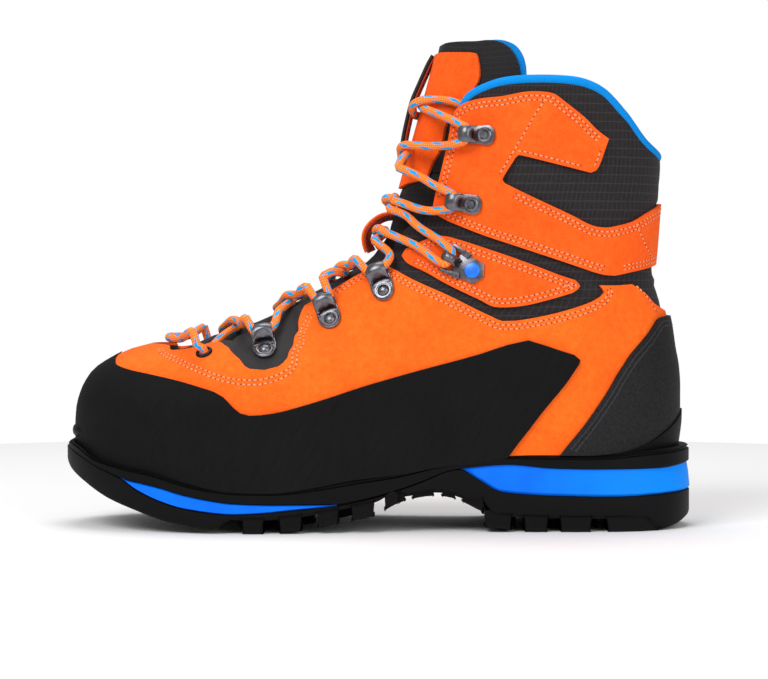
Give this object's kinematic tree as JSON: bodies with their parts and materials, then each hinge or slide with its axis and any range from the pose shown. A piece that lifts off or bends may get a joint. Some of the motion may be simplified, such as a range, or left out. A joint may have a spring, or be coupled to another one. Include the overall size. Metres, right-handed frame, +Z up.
{
  "type": "mountaineering boot",
  "caption": "Laced leather and softshell mountaineering boot for the left foot, with a lugged rubber sole, rubber rand, crampon welts, hinged cuff and lifting footbed.",
  "frame": {"origin": "on the ground under the middle of the boot's box", "axes": "+X from toe to heel, +Y to the inner side of this left boot, +Z up"},
  "size_m": [0.304, 0.1134, 0.2356],
  "materials": {
    "orange_suede": "matte suede",
    "black_rubber": "matte",
    "black_leather": "satin grain",
    "blue_midsole": "matte foam",
    "blue_lining": "woven",
    "board": "fibreboard",
    "shank_steel": "brushed",
    "lace_cord": "braided",
    "gunmetal": "dark plated",
    "hook_rivet_blue": "satin",
    "black_webbing": "woven webbing",
    "black_softshell": "ripstop weave"
  },
  "bodies": {
    "foot": {"ankle_insert_inner": "orange_suede", "ankle_insert_outer": "orange_suede", "foot_shell": "black_softshell", "forefoot_insert": "blue_midsole", "guide_ankle_inner": "gunmetal", "guide_ankle_outer": "gunmetal", "guide_ankle_rivet_inner": "gunmetal", "guide_ankle_rivet_outer": "gunmetal", "guide_middle_inner": "gunmetal", "guide_middle_outer": "gunmetal", "guide_middle_rivet_inner": "gunmetal", "guide_middle_rivet_outer": "gunmetal", "guide_toe_inner": "gunmetal", "guide_toe_outer": "gunmetal", "guide_toe_rivet_inner": "gunmetal", "guide_toe_rivet_outer": "gunmetal", "heel_counter": "board", "heel_cover": "black_leather", "heel_strip": "black_rubber", "heel_wedge": "blue_midsole", "lace": "lace_cord", "lace_keeper": "orange_suede", "lasting_board": "board", "lock_hook_inner": "gunmetal", "lock_hook_outer": "gunmetal", "lock_hook_rivet_inner": "hook_rivet_blue", "lock_hook_rivet_outer": "hook_rivet_blue", "midsole_frame": "black_rubber", "outsole": "black_rubber", "rand": "black_rubber", "shank": "shank_steel", "toe_eyelet_inner": "gunmetal", "toe_eyelet_outer": "gunmetal", "toe_puff": "board", "toe_welt": "black_rubber", "tongue_instep": "black_softshell", "vamp_and_quarters": "orange_suede"},
    "cuff": {"ankle_gusset": "black_softshell", "ankle_strap": "orange_suede", "collar_binding": "blue_lining", "cuff_foam": "blue_lining", "cuff_shell": "black_softshell", "hook_high_inner": "gunmetal", "hook_high_outer": "gunmetal", "hook_high_rivet_inner": "gunmetal", "hook_high_rivet_outer": "gunmetal", "hook_low_inner": "gunmetal", "hook_low_outer": "gunmetal", "hook_low_rivet_inner": "gunmetal", "hook_low_rivet_outer": "gunmetal", "pull_strap": "black_webbing", "tongue_patch_low": "orange_suede", "tongue_shaft": "black_softshell"},
    "tongue_end": {"tongue_top": "black_softshell", "tongue_patch_top": "orange_suede"},
    "insole": {"footbed": "blue_lining"}
  },
  "joints": [
    {"name": "ankle_flex", "type": "hinge", "parent": "foot", "child": "cuff", "pos_m": [0.0924, -0.00416, 0.118], "axis": [0, -1, 0], "range_deg": [-6, 6], "stiffness_Nm_per_rad": 20, "deforming": ["ankle_gusset", "lace"]},
    {"name": "tongue_fold", "type": "hinge", "parent": "cuff", "child": "tongue_end", "pos_m": [0.0234, -0.00416, 0.203], "axis": [0, -1, 0], "range_deg": [-5, 25], "stiffness_Nm_per_rad": 0.4, "deforming": ["pull_strap"]},
    {"name": "footbed_lift", "type": "hinge", "parent": "foot", "child": "insole", "pos_m": [-0.1336, -0.00416, 0.0385], "axis": [0, -1, 0], "range_deg": [0, 9]}
  ]
}
